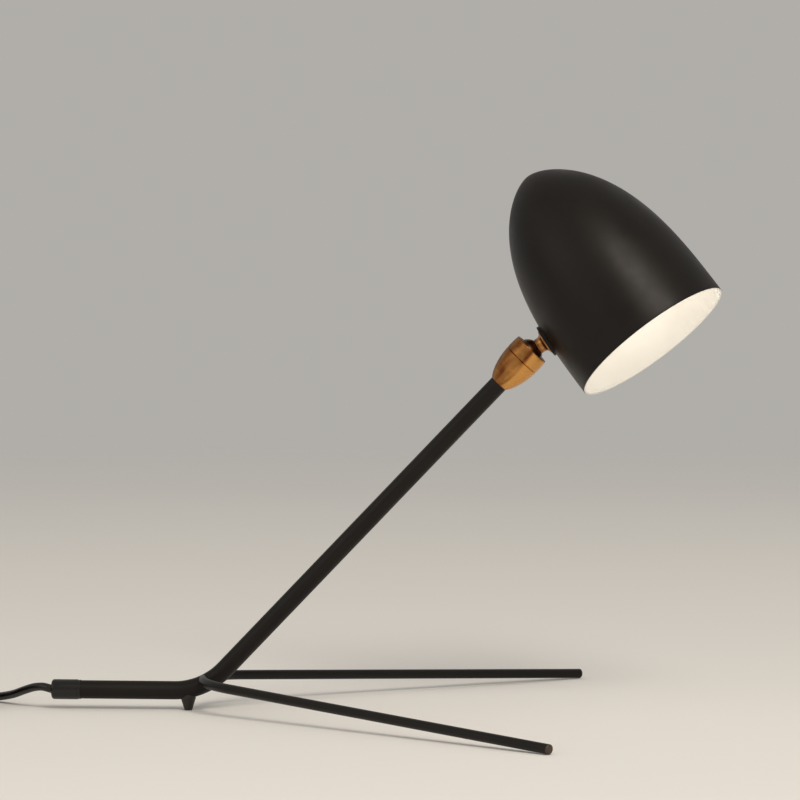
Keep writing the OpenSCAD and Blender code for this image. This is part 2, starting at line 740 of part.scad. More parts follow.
module cord_to_plug() color(gloss_black) swept(plug_points, cord_d, 8, [0, -1, 0], [0, -1, 0]);

// The switch's frame: x along the cord, z = 0 on the table
module at_switch() {
  translate([coil_side, switch_y - switch_len / 2, 0]) rotate([0, 0, -90]) children();
}

module stadium(l, w) {
  square([l - w, w], center = true);
  for (side = [-1, 1]) translate([side * (l - w) / 2, 0]) circle(d = w);
}

// The housing's outline: a slab with round ends, its top and bottom edges bevelled
module switch_block(less) {
  bevel = 2.5;
  h = switch_h - 2 * less;
  l = switch_len - 2 * less;
  translate([0, 0, less]) intersection() {
    linear_extrude(h) stadium(l, switch_w - 2 * less);
    rotate([90, 0, 0]) linear_extrude(switch_w, center = true)
      polygon([[-l / 2 + bevel, 0], [l / 2 - bevel, 0], [l / 2, bevel], [l / 2, h - bevel],
               [l / 2 - bevel, h], [-l / 2 + bevel, h], [-l / 2, h - bevel], [-l / 2, bevel]]);
  }
}

module switch_shell(low, high) difference() {
  intersection() {
    switch_block(0);
    translate([-switch_len, -switch_w, low]) cube([2 * switch_len, 2 * switch_w, high - low]);
  }
  switch_block(shell_t);
  translate([-switch_len, 0, switch_mid_z]) rotate([0, 90, 0]) cylinder(h = 2 * switch_len, d = cord_d);
}

module posts(low, high, d) {
  for (side = [-1, 1]) translate([side * post_x, 0, low]) cylinder(h = high - low, d = d);
}

module switch_base() {
  color(gloss_black) at_switch() difference() {
    union() {
      switch_shell(0, switch_mid_z);
      for (side = [-1, 1]) translate([0, side * 7, 0]) posts(shell_t / 2, switch_mid_z, post_d);
    }
    for (side = [-1, 1]) translate([0, side * 7, -past]) {
      posts(0, switch_mid_z + 2 * past, screw_d);
      posts(0, past + 1.6, screw_d + 2.2);
    }
  }
}

module switch_cover() {
  cheek_l = 8;
  color(gloss_black) at_switch() difference() {
    union() {
      switch_shell(switch_mid_z, switch_h);
      for (side = [-1, 1]) {
        translate([0, side * 7, 0]) posts(switch_mid_z, switch_h - shell_t / 2, post_d);
        translate([-cheek_l / 2, side * (rocker_w / 2 + gap + cheek_t / 2) - cheek_t / 2, axle_z - 3])
          cube([cheek_l, cheek_t, switch_h - shell_t / 2 - axle_z + 3]);
      }
    }
    translate([-rocker_l / 2 - gap, -rocker_w / 2 - gap, switch_mid_z])
      cube([rocker_l + 2 * gap, rocker_w + 2 * gap, switch_h]);
    translate([0, 0, axle_z]) rotate([90, 0, 0])
      cylinder(h = rocker_w + 2 * gap + 2 * cheek_t + 2 * past, d = axle_d + 2 * fit, center = true);
    for (side = [-1, 1]) translate([0, side * 7, switch_mid_z - past]) posts(0, past + 4, screw_d);
  }
}

module switch_rocker() {
  proud = 2.4;
  drop = 4.6;
  bow = rocker_l * tan(rocker_tilt) / 2;
  half = rocker_l / 2 - 0.6;
  top = switch_h - axle_z;
  color("#2a2725") at_switch() translate([0, 0, axle_z]) rotate([0, -rocker_tilt, 0]) {
    rotate([90, 0, 0]) {
      linear_extrude(rocker_w, center = true)
        polygon([[-half, top + bow], [0, top + 0.4], [half, top + bow], [half, top - proud],
                 [2.5, -drop + 1.4], [-2.5, -drop + 1.4], [-half, top - proud]]);
      cylinder(h = rocker_w + 2 * gap + 2 * cheek_t - 2 * fit, d = axle_d, center = true);
    }
  }
}

module switch_screws() {
  grip = switch_mid_z + 2.6;
  color(steel) at_switch() for (side = [-1, 1]) translate([0, side * 7, 0]) {
    posts(0.3, grip, screw_d - 2 * fit);
    posts(0.3, 1.4, screw_d + 2);
  }
}

// The plug's frame: x along the cord from the end of the free stretch, z = 0 on the table
module at_plug() {
  translate([coil_side, plug_y, 0]) rotate([0, 0, -90]) children();
}

module plug_body() {
  bevel = 1.6;
  shoulder = 14;
  front_w = 26;
  l = plug_len;
  color(gloss_black) at_plug() {
    translate([0, 0, plug_t / 2]) rotate([0, 90, 0])
      cylinder(h = sleeve_len, d1 = cord_d + 1.4, d2 = sleeve_d);
    difference() {
      translate([sleeve_len, 0, 0]) intersection() {
        linear_extrude(plug_t) polygon([[0, -plug_neck_w / 2], [shoulder, -plug_w / 2], [l - 7, -plug_w / 2],
                                        [l, -front_w / 2], [l, front_w / 2], [l - 7, plug_w / 2],
                                        [shoulder, plug_w / 2], [0, plug_neck_w / 2]]);
        rotate([90, 0, 90]) linear_extrude(l)
          polygon([[-plug_w / 2, bevel], [-plug_w / 2 + 2 * bevel, 0],
                   [plug_w / 2 - 2 * bevel, 0], [plug_w / 2, bevel],
                   [plug_w / 2, plug_t - bevel], [plug_w / 2 - 2 * bevel, plug_t],
                   [-plug_w / 2 + 2 * bevel, plug_t], [-plug_w / 2, plug_t - bevel]]);
      }
      for (side = [-1, 1])
        translate([sleeve_len + l - pin_grip, side * pin_gap / 2, plug_t / 2]) rotate([0, 90, 0])
          cylinder(h = pin_grip + past, d = pin_root_d);
    }
  }
}

module plug_pins() {
  pin_round = 1;
  color(steel) at_plug() for (side = [-1, 1])
    translate([sleeve_len + plug_len, side * pin_gap / 2, plug_t / 2]) rotate([0, 90, 0]) {
      translate([0, 0, -pin_grip]) cylinder(h = pin_grip + pin_root + lap, d = pin_root_d);
      translate([0, 0, pin_root]) rounded_end(pin_d / 2, pin_len - pin_root, pin_round);
    }
}

stand_tube();
leg_left();
leg_right();
leg_tips();
foot_peg();
end_bush();
cord_grip();
tube_flex();
arm_nipple();
socket_cup();
socket_collar();
seat_spring();
ball_seat();
ball();
ball_stem();
stem_clip();
saddle_washer();
shade();
inner_washer();
stem_nut();
holder_bracket();
bracket_screws();
lampholder();
holder_thread();
holder_contact();
bulb_cap();
bulb_globe();
head_flex();
cord_run();
cord_coil();
cord_to_switch();
cord_to_plug();
switch_base();
switch_cover();
switch_rocker();
switch_screws();
plug_body();
plug_pins();
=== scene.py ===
# %% [markdown]
# # A tripod table lamp
# This notebook dresses the CAD model of a small table lamp for its portrait. The stand is one bent
# tube on a peg and two leg rods, and a pointed shade hangs on a brass ball joint. We give them their
# finishes, and model anew only what needs a finer form than the solid has: the shade, the flex, the
# switch and the plug.

# %% Load the frame
import math

import bpy
import bmesh
from mathutils import Euler, Matrix, Vector


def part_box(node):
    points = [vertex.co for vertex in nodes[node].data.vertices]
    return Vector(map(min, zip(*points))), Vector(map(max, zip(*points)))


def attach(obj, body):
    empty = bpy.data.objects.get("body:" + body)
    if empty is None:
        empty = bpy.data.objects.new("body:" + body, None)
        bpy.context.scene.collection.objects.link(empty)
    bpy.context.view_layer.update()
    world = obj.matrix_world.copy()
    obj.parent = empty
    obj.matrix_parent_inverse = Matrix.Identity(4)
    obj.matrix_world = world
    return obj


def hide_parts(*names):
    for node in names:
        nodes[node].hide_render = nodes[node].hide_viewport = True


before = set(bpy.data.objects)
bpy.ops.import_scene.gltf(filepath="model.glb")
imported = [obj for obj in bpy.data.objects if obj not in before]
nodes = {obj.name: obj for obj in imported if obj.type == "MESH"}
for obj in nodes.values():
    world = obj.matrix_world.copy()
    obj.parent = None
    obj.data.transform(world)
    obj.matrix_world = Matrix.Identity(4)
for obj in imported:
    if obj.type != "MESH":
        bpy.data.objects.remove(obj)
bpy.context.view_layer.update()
MM = 0.001

# %% [markdown]
# The camera comes first, because where the flex leaves the picture depends on it. The lens is long, as
# product photographs have it, so the legs hardly converge. It stands low, three degrees above the
# table, and a little to the right of the lamp's side.

# %% Camera
ELEVATION = math.radians(2.88)
AZIMUTH = math.radians(4.81)
back = Vector((math.sin(AZIMUTH) * math.cos(ELEVATION), -math.cos(AZIMUTH) * math.cos(ELEVATION),
               math.sin(ELEVATION)))
right = Vector((math.cos(AZIMUTH), math.sin(AZIMUTH), 0))
up = back.cross(right)
CAMERA_PLACE = (0.35079, -2.65897, 0.32034)
portrait = bpy.data.cameras.new("portrait")
portrait.sensor_width = 36
portrait.lens = 202.5
camera = bpy.data.objects.new("portrait", portrait)
camera.matrix_world = Matrix.Translation(CAMERA_PLACE) @ Matrix((right, up, back)).transposed().to_4x4()
bpy.context.scene.collection.objects.link(camera)
bpy.context.scene.camera = camera
print("camera", [round(v, 3) for v in camera.location])

# %% [markdown]
# ## The flex
# A table lamp has about 1.8 m of round flex. The photograph shows only its first 45 mm or so: it
# comes straight out of the end bush, bends down under its own weight and runs off to the left. The
# rest lies in a neat coil just outside the picture. A curve with a round bevel is the natural way to
# make a cord: its line is exactly the cord's middle, so its length and bends can be measured. When it
# becomes a mesh, the caps at its ends are still loose, so they are merged with the tube. Routes are in
# millimetres.

# %% Routes of the flex
FLEX_R = 2.5 * MM
COIL_MIDDLE = (-152.0, 7.3)
COIL_INNER, COIL_PITCH, COIL_LAYERS, LAYER_TURNS = 20.0, 5.5, 4, 2.3125
FLEX_LEVEL = 2.5
COIL_OUTER = COIL_INNER + COIL_PITCH * LAYER_TURNS
COIL_SIDE = COIL_MIDDLE[0] - COIL_OUTER
COIL_TOP = FLEX_LEVEL + COIL_PITCH * (COIL_LAYERS - 1)
from_bush = [(-82.3, 0, 11.7), (-85, 0.3, 12.4), (-88.5, 1.8, 12.9), (-94, 5.5, 12.1), (-101, 11.3, 9.6),
             (-107.5, 18, 6.8), (-114, 25, 4.7), (-121, 31.5, 3.2), (-129, 36.8, FLEX_LEVEL),
             (-138, 39.4, FLEX_LEVEL), (COIL_MIDDLE[0] + 5, COIL_MIDDLE[1] + COIL_OUTER, FLEX_LEVEL)]
to_switch = [(COIL_SIDE, COIL_MIDDLE[1] - 5, COIL_TOP), (COIL_SIDE, -3, 18.2), (COIL_SIDE, -9, 14.6),
             (COIL_SIDE, -15.5, 10.8), (COIL_SIDE, -21, 8.8), (COIL_SIDE, -26, 8.5), (COIL_SIDE, -31, 8.5)]
to_plug = [(COIL_SIDE, -79, 8.5), (COIL_SIDE, -84, 8.5), (COIL_SIDE, -90.5, 8), (COIL_SIDE, -97, 7.2),
           (COIL_SIDE, -103.5, 6.8), (COIL_SIDE, -110, 6.85)]


def coil_point(turn):
    """A point of the coil: it spirals in, climbs a layer where it reverses, and spirals out."""
    layer, part = divmod(turn / LAYER_TURNS, 1)
    inward = part if layer % 2 == 0 else 1 - part
    nearest = math.floor(turn / LAYER_TURNS + 0.5)
    w = min(1, max(0, (turn - nearest * LAYER_TURNS) / 0.5 + 0.5))
    if nearest <= 0:
        level = 0
    elif nearest >= COIL_LAYERS:
        level = COIL_LAYERS - 1
    else:
        level = nearest - 1 + w * w * (3 - 2 * w)
    r = COIL_OUTER - (COIL_OUTER - COIL_INNER) * inward
    a = math.radians(90 + 360 * turn)
    return (COIL_MIDDLE[0] + r * math.cos(a), COIL_MIDDLE[1] + r * math.sin(a),
            FLEX_LEVEL + COIL_PITCH * level)


def eased(points, steps):
    """Rounds a chain of points with a curve through all of them."""
    pts = [Vector(p) for p in points]
    pts = [pts[0] * 2 - pts[1]] + pts + [pts[-1] * 2 - pts[-2]]
    out = []
    for a, b, c, d in zip(pts, pts[1:], pts[2:], pts[3:]):
        for k in range(steps):
            t = k / steps
            out.append(0.5 * ((2 * b) + (c - a) * t + (2 * a - 5 * b + 4 * c - d) * t * t
                              + (3 * b - 3 * c + d - a) * t ** 3))
    return out + [pts[-2]]


POINTS_PER_TURN = 36
turns = COIL_LAYERS * LAYER_TURNS
coil_count = round(turns * POINTS_PER_TURN)
coil = [Vector(coil_point(turns * i / coil_count)) for i in range(coil_count + 1)]
lamp_route = eased(from_bush, 4)[:-1] + coil + eased(to_switch, 4)
plug_route = eased(to_plug, 4)


def length_of(route):
    """The length in metres of a route in millimetres."""
    return sum((b - a).length for a, b in zip(route, route[1:])) * MM


print("flex to the switch %.3f m, to the plug %.3f m" % (length_of(lamp_route), length_of(plug_route)))


# %% Make the flex
def flex(name, route, radius, body="base"):
    """A round cord along a route in millimetres, with its radius in metres, that rides on a body."""
    curve = bpy.data.curves.new(name, "CURVE")
    curve.dimensions = "3D"
    curve.bevel_depth = radius
    curve.bevel_resolution = 5
    curve.use_fill_caps = True
    spline = curve.splines.new("POLY")
    spline.points.add(len(route) - 1)
    for point, place in zip(spline.points, route):
        point.co = (*(place * MM), 1)
    piece = bpy.data.objects.new(name, curve)
    bpy.context.scene.collection.objects.link(piece)
    bpy.ops.object.select_all(action="DESELECT")
    piece.select_set(True)
    bpy.context.view_layer.objects.active = piece
    bpy.ops.object.convert(target="MESH")
    piece = bpy.context.object
    bpy.ops.object.mode_set(mode="EDIT")
    bpy.ops.mesh.select_all(action="SELECT")
    bpy.ops.mesh.remove_doubles(threshold=0.01 * MM)
    bpy.ops.mesh.normals_make_consistent(inside=False)
    bpy.ops.object.mode_set(mode="OBJECT")
    bpy.ops.object.shade_smooth_by_angle(angle=math.radians(50))
    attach(piece, body)
    return piece


lamp_flex = flex("lamp_flex", lamp_route, FLEX_R)
plug_flex = flex("plug_flex", plug_route, FLEX_R)
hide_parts("cord_run", "cord_coil", "cord_to_switch")
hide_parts("cord_to_plug")

# %% [markdown]
# Inside the shade a thinner flex comes up through the stem and leans over to the lampholder, where
# anyone who looks in from below sees it. It is made in the same way, but rides on the head.

# %% Make the flex in the head
from_stem = [(197.41, 0, 210.34), (205.91, 0, 215.98), (213.58, 0, 221.05), (222.0, 0, 226.63),
             (224.54, 0.33, 230.06), (220.07, 2.10, 236.43), (215.81, 5.36, 250.80), (211.54, 8.61, 265.17),
             (207.27, 11.88, 279.54), (209.07, 13.80, 290.91)]
HEAD_FLEX_R = 1.8 * MM
head_route = eased(from_stem, 8)
holder_flex = flex("holder_flex", head_route, HEAD_FLEX_R, "head")
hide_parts("head_flex")
print("flex in the head %.3f m" % length_of(head_route))

# %% [markdown]
# The flex carries a switch. Its housing is two moulded shells that meet in a seam at half height, with
# a rocker between them. Each shell starts as a cube: its upright edges are bevelled until the ends are
# round, then its top and bottom edges a little, as in every mould. Boolean cuts make room for the
# rocker and its axle, the flex and the screws.

# %% Helpers for new pieces
SMOOTH = math.radians(32)


def start_piece(name):
    """Names the newest primitive, and opens it in edit mode."""
    piece = bpy.context.object
    piece.name = piece.data.name = name
    bpy.ops.object.mode_set(mode="EDIT")
    return piece


def settle(piece, place, body):
    """Puts the piece's place into its mesh, and lets it ride on a body."""
    bpy.ops.object.mode_set(mode="OBJECT")
    piece.data.transform(place @ piece.matrix_world)
    piece.matrix_world = Matrix.Identity(4)
    piece.data.update()
    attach(piece, body)


def pick_lines(piece, test):
    """Selects only the edges that pass a test."""
    bpy.ops.mesh.select_mode(type="EDGE")
    bpy.ops.mesh.select_all(action="DESELECT")
    shape = bmesh.from_edit_mesh(piece.data)
    for line in shape.edges:
        line.select = test(line)
    bmesh.update_edit_mesh(piece.data)


def cut(piece, *cutters):
    """Takes the cutters out of a piece, and removes them."""
    for cutter in cutters:
        hole = piece.modifiers.new("hole", "BOOLEAN")
        hole.object = cutter
        bpy.context.view_layer.objects.active = piece
        bpy.ops.object.modifier_apply(modifier="hole")
        bpy.data.objects.remove(cutter)


def block_cutter(low, high):
    """A block between two corners, to be cut out of a piece."""
    bpy.ops.mesh.primitive_cube_add(size=1, location=(Vector(low) + Vector(high)) / 2)
    cutter = bpy.context.object
    cutter.scale = Vector(high) - Vector(low)
    bpy.context.view_layer.update()
    return cutter


def round_cutter(middle, radius, depth, turn=(0, 0, 0)):
    """A round bar, upright unless it is turned, to be cut out of a piece."""
    bpy.ops.mesh.primitive_cylinder_add(vertices=40, radius=radius, depth=depth, location=middle,
                                        rotation=turn)
    return bpy.context.object


# %% Mould the switch's housing
HOUSING_END_R = 11.6 * MM
POCKET_HALF_X, POCKET_HALF_Y, POCKET_FLOOR, OVER_THE_TOP = 5.3 * MM, 7.8 * MM, 4 * MM, 30 * MM
FLEX_HOLE_R, FLEX_HOLE_LONG = FLEX_R + 0.1 * MM, 80 * MM
AXLE_UNDER_TOP, AXLE_HOLE_R, AXLE_HOLE_LONG = 4.2 * MM, 1.4 * MM, 15 * MM
SCREW_INSET, SCREW_HOLE_R, SCREW_HOLE_LONG = 2.5 * MM, 2.6 * MM, 3.2 * MM
ALONG_X, ALONG_Y = (0, math.pi / 2, 0), (math.pi / 2, 0, 0)


def moulded_half(name, node, soft_top, soft_bottom):
    """Half of the housing, in the box of its solid, with round ends and edges softened by millimetres."""
    low, high = (Vector(corner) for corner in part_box(node))
    bpy.ops.object.select_all(action="DESELECT")
    bpy.ops.mesh.primitive_cube_add(size=1)
    half = start_piece(name)
    bpy.ops.mesh.select_all(action="SELECT")
    bpy.ops.transform.resize(value=high - low, center_override=(0, 0, 0))
    bpy.ops.transform.translate(value=(low + high) / 2)
    pick_lines(half, lambda line: abs(line.verts[0].co.z - line.verts[1].co.z) > 1 * MM)
    bpy.ops.mesh.bevel(offset=HOUSING_END_R, segments=14)
    for level, soft in ((high.z, soft_top), (low.z, soft_bottom)):
        pick_lines(half, lambda line: all(abs(end.co.z - level) < 0.01 * MM for end in line.verts))
        bpy.ops.mesh.bevel(offset=soft * MM, segments=4)
    settle(half, Matrix.Identity(4), "base")
    x, y, _ = (low + high) / 2
    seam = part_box("switch_cover")[0][2]
    cut(half,
        block_cutter((x - POCKET_HALF_X, y - POCKET_HALF_Y, POCKET_FLOOR),
                     (x + POCKET_HALF_X, y + POCKET_HALF_Y, OVER_THE_TOP)),
        round_cutter((x, y, seam), FLEX_HOLE_R, FLEX_HOLE_LONG, ALONG_Y))
    print(name, len(half.data.polygons), "faces")
    return half


switch_tray = moulded_half("switch_tray", "switch_base", 0.35, 1.2)
switch_lid = moulded_half("switch_lid", "switch_cover", 2.2, 0.35)
(x0, y0, z0), (x1, y1, z1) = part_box("switch_cover")
axle_z = z1 - AXLE_UNDER_TOP
cut(switch_lid,
    round_cutter(((x0 + x1) / 2, (y0 + y1) / 2, axle_z), AXLE_HOLE_R, AXLE_HOLE_LONG, ALONG_X))
(x0, y0, z0), (x1, y1, z1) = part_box("switch_screws")
for x in (x0 + SCREW_INSET, x1 - SCREW_INSET):
    for y in (y0 + SCREW_INSET, y1 - SCREW_INSET):
        cut(switch_tray, round_cutter((x, y, 0), SCREW_HOLE_R, SCREW_HOLE_LONG))
for half, node in ((switch_tray, "switch_base"), (switch_lid, "switch_cover")):
    bpy.ops.object.select_all(action="DESELECT")
    half.select_set(True)
    bpy.context.view_layer.objects.active = half
    bpy.ops.object.shade_smooth_by_angle(angle=SMOOTH)
    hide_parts(node)

# %% [markdown]
# The rocker and the plug only need their edges rounded. A copy of a solid's mesh has its loose
# triangles merged into whole faces first, and can then take a bevel on its sharp edges alone. It
# stands for the solid afterwards.

# %% Soften the rocker and the plug
PIN_R = 2 * MM
SHARP = math.radians(20)


def off_the_pins(place):
    """Whether a place isn't at one of the holes for the pins."""
    (x0, y0, z0), (x1, y1, z1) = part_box("plug_pins")
    return all((Vector((place.x, place.z)) - Vector((x, (z0 + z1) / 2))).length > PIN_R + 0.6 * MM
               for x in (x0 + PIN_R, x1 - PIN_R))


def softened(name, node, body, width, may_round):
    """A copy of a solid, with its sharp edges rounded by a width in millimetres."""
    piece = bpy.data.objects.new(name, nodes[node].data.copy())
    bpy.context.scene.collection.objects.link(piece)
    bpy.ops.object.select_all(action="DESELECT")
    piece.select_set(True)
    bpy.context.view_layer.objects.active = piece
    bpy.ops.object.mode_set(mode="EDIT")
    bpy.ops.mesh.select_all(action="SELECT")
    bpy.ops.mesh.remove_doubles(threshold=0.01 * MM)
    bpy.ops.mesh.dissolve_limited(angle_limit=math.radians(1))
    pick_lines(piece, lambda line: len(line.link_faces) == 2 and line.calc_face_angle() > SHARP
               and all(may_round(end.co) for end in line.verts))
    bpy.ops.mesh.bevel(offset=width * MM, segments=4, clamp_overlap=False)
    bpy.ops.object.mode_set(mode="OBJECT")
    bpy.ops.object.shade_smooth_by_angle(angle=SMOOTH)
    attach(piece, body)
    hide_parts(node)
    print(name, len(piece.data.polygons), "faces")
    return piece


rocker_cap = softened("rocker_cap", "switch_rocker", "rocker", 0.35,
                      lambda place: place.z > axle_z + 1.5 * MM)
plug_shell = softened("plug_shell", "plug_body", "base", 1.2, off_the_pins)

# %% [markdown]
# ## Finishes
# The lamp has few finishes: satin black paint, glossy black plastic, turned brass, a ball painted a
# dark brown that stands for its shade, plain steel, white enamel and opal glass. Each is a Principled
# shader. What several of them need is built once as a node group: the fine pebble of a sprayed coat,
# the soft smudges that hands leave, the rings that a lathe leaves with painted reflections along the
# axis, and a dark band round a station. A group gives out only values, and each material puts in its
# own sizes.

# %% Helpers for node trees
def feed(tree, node, inputs):
    """Sets a node's inputs, by name or as i0, i1 by number; a socket as a value is linked."""
    for name, value in inputs.items():
        numbered = name[0] == "i" and name[1:].isdigit()
        socket = node.inputs[int(name[1:]) if numbered else name.replace("_", " ")]
        if isinstance(value, bpy.types.NodeSocket):
            tree.links.new(value, socket)
        else:
            socket.default_value = value


def add(tree, kind, **inputs):
    """Adds a node and feeds it."""
    node = tree.nodes.new(kind)
    feed(tree, node, inputs)
    return node


def maths(tree, operation, a, b=0.0, clamp=False):
    """The result of one sum."""
    node = add(tree, "ShaderNodeMath", i0=a, i1=b)
    node.operation = operation
    node.use_clamp = clamp
    return node.outputs[0]


def start_group(name, inputs, outputs):
    """A new node group with a vector input, number inputs with defaults, and number outputs."""
    group = bpy.data.node_groups.new(name, "ShaderNodeTree")
    group.interface.new_socket("Vector", in_out="INPUT", socket_type="NodeSocketVector")
    for label, value in inputs:
        group.interface.new_socket(label, in_out="INPUT", socket_type="NodeSocketFloat").default_value = value
    for label in outputs:
        group.interface.new_socket(label, in_out="OUTPUT", socket_type="NodeSocketFloat")
    return group, group.nodes.new("NodeGroupInput").outputs, group.nodes.new("NodeGroupOutput").inputs


# %% Group: the pebble of a sprayed coat
sprayed_coat, given, result = start_group("sprayed_coat", [("Pebble Scale", 900.0), ("Wave Scale", 60.0)],
                                          ["Height", "Tone"])
pebble = add(sprayed_coat, "ShaderNodeTexNoise", Vector=given["Vector"], Scale=given["Pebble Scale"],
             Detail=3.0, Roughness=0.55)
wave = add(sprayed_coat, "ShaderNodeTexNoise", Vector=given["Vector"], Scale=given["Wave Scale"], Detail=2.0)
fine = maths(sprayed_coat, "MULTIPLY", pebble.outputs["Fac"], 0.6)
broad = maths(sprayed_coat, "MULTIPLY", wave.outputs["Fac"], 0.4)
sprayed_coat.links.new(maths(sprayed_coat, "ADD", fine, broad), result["Height"])
sprayed_coat.links.new(wave.outputs["Fac"], result["Tone"])

# %% Group: smudges from handling
handling, given, result = start_group("handling", [("Patch Scale", 25.0), ("Amount", 0.5)], ["Smudge"])
patch = add(handling, "ShaderNodeTexNoise", Vector=given["Vector"], Scale=given["Patch Scale"], Detail=5.0,
            Roughness=0.6, Distortion=0.4)
soft = add(handling, "ShaderNodeMapRange", Value=patch.outputs["Fac"], From_Min=0.42, From_Max=0.66)
handling.links.new(maths(handling, "MULTIPLY", soft.outputs[0], given["Amount"]), result["Smudge"])

# %% Group: rings from the lathe, and painted reflections along the axis
rings_and_painted_reflection, given, result = start_group("rings_and_painted_reflection", [("Rings per Metre", 4000.0)], ["Height", "Painted Reflection"])
split = add(rings_and_painted_reflection, "ShaderNodeSeparateXYZ", Vector=given["Vector"])
along = maths(rings_and_painted_reflection, "MULTIPLY", split.outputs["Z"], given["Rings per Metre"])
ring_line = add(rings_and_painted_reflection, "ShaderNodeTexNoise", Detail=3.0, Roughness=0.7, Scale=1.0)
ring_line.noise_dimensions = "1D"
rings_and_painted_reflection.links.new(along, ring_line.inputs["W"])
rings_and_painted_reflection.links.new(ring_line.outputs["Fac"], result["Height"])
# Painted reflection: soft bands that run along the axis stand in for the room mirrored in polished metal.
around = maths(rings_and_painted_reflection, "ARCTAN2", split.outputs["Y"], split.outputs["X"])
turned = add(rings_and_painted_reflection, "ShaderNodeCombineXYZ", X=maths(rings_and_painted_reflection, "COSINE", around),
             Y=maths(rings_and_painted_reflection, "SINE", around), Z=maths(rings_and_painted_reflection, "MULTIPLY", split.outputs["Z"], 18.0))
painted_reflection = add(rings_and_painted_reflection, "ShaderNodeTexNoise", Vector=turned.outputs[0], Scale=1.9, Detail=1.5,
             Roughness=0.5)
spread = add(rings_and_painted_reflection, "ShaderNodeMapRange", Value=painted_reflection.outputs["Fac"], From_Min=0.33, From_Max=0.67)
rings_and_painted_reflection.links.new(spread.outputs[0], result["Painted Reflection"])

# %% Group: a ragged dark band round a station along a turned piece's axis
dark_band, given, result = start_group("dark_band", [("Station", 0.0), ("Reach", 0.001)],
                                            ["Tarnish"])
split = add(dark_band, "ShaderNodeSeparateXYZ", Vector=given["Vector"])
away = maths(dark_band, "SUBTRACT", split.outputs["Z"], given["Station"])
away = maths(dark_band, "ABSOLUTE", away)
ragged = add(dark_band, "ShaderNodeTexNoise", Vector=given["Vector"], Scale=420.0, Detail=3.0)
reach = maths(dark_band, "ADD", ragged.outputs["Fac"], 0.5)
reach = maths(dark_band, "MULTIPLY", given["Reach"], reach)
share = maths(dark_band, "DIVIDE", away, reach)
dark_band.links.new(maths(dark_band, "SUBTRACT", 1.0, share, clamp=True), result["Tarnish"])
print("node groups:", [g.name for g in bpy.data.node_groups])


# %% Helpers for materials
def finish(name, colour, roughness, metallic=0.0):
    """A new material with its Principled shader and its object coordinates."""
    material = bpy.data.materials.new(name)
    material.use_nodes = True
    tree = material.node_tree
    shader = tree.nodes["Principled BSDF"]
    shader.inputs["Base Color"].default_value = (*colour, 1)
    shader.inputs["Roughness"].default_value = roughness
    shader.inputs["Metallic"].default_value = metallic
    place = tree.nodes.new("ShaderNodeTexCoord").outputs["Object"]
    return material, tree, shader, place


def use(tree, group, **inputs):
    """Places a node group in a material."""
    node = tree.nodes.new("ShaderNodeGroup")
    node.node_tree = group
    feed(tree, node, inputs)
    return node.outputs


def bumped(tree, shader, height, strength, distance):
    """Gives a shader's surface a relief."""
    bump = add(tree, "ShaderNodeBump", Height=height, Strength=strength, Distance=distance)
    tree.links.new(bump.outputs[0], shader.inputs["Normal"])


def between(tree, factor, low, high):
    """A colour between two, by a factor."""
    mix = tree.nodes.new("ShaderNodeMix")
    mix.data_type = "RGBA"
    mix.inputs[6].default_value = (*low, 1)
    mix.inputs[7].default_value = (*high, 1)
    tree.links.new(factor, mix.inputs[0])
    return mix.outputs[2]


def ranged(tree, value, low, high):
    """Maps a value of 0 to 1 between two numbers."""
    node = add(tree, "ShaderNodeMapRange", Value=value, To_Min=low, To_Max=high)
    return node.outputs[0]


# %% [markdown]
# The stand and the outside of the shade have the same satin black coat. It isn't pure black: in warm
# light it reads as a very dark brown, with a wide soft highlight. Sprayed paint has a fine pebble that
# breaks up reflections, and where the lamp is held its satin is a little shinier.

# %% Satin black paint
def satin_paint(name, colour, roughness, pebble_depth):
    """Sprayed black: a touch duller where nobody holds it, and a touch dustier in patches."""
    material, tree, shader, place = finish(name, colour, roughness)
    shader.inputs["Specular IOR Level"].default_value = 0.21
    coat = use(tree, sprayed_coat, Vector=place)
    marks = use(tree, handling, Vector=place, Patch_Scale=22.0, Amount=1.0)
    worn = ranged(tree, marks["Smudge"], roughness + 0.03, roughness - 0.08)
    tree.links.new(worn, shader.inputs["Roughness"])
    dusty = tuple(c * 1.7 + 0.001 for c in colour)
    tree.links.new(between(tree, coat["Tone"], colour, dusty), shader.inputs["Base Color"])
    bumped(tree, shader, coat["Height"], 0.35, pebble_depth)
    return material


black_paint = satin_paint("satin_black_paint", (0.0042, 0.0030, 0.0022), 0.44, 0.00006)
leg_paint = satin_paint("satin_black_rod", (0.0046, 0.0036, 0.0028), 0.36, 0.00004)

# %% [markdown]
# The end bush, the flex, the switch and the plug are plastic. Moulded plastic is smoother and
# glossier than the paint, with a faint orange peel; extruded flex has a soft sheen that runs along it.

# %% Plastics
def moulded(name, colour, roughness, depth=0.00003, scale=500.0):
    """Moulded or extruded plastic: an orange peel of a depth in metres, and dull patches."""
    material, tree, shader, place = finish(name, colour, roughness)
    shader.inputs["Specular IOR Level"].default_value = 0.42
    coat = use(tree, sprayed_coat, Vector=place, Pebble_Scale=scale, Wave_Scale=45.0)
    marks = use(tree, handling, Vector=place, Patch_Scale=40.0, Amount=0.8)
    tree.links.new(ranged(tree, marks["Smudge"], roughness, roughness + 0.10), shader.inputs["Roughness"])
    paler = tuple(c * 1.5 for c in colour)
    tree.links.new(between(tree, coat["Tone"], colour, paler), shader.inputs["Base Color"])
    bumped(tree, shader, coat["Height"], 0.3, depth)
    return material


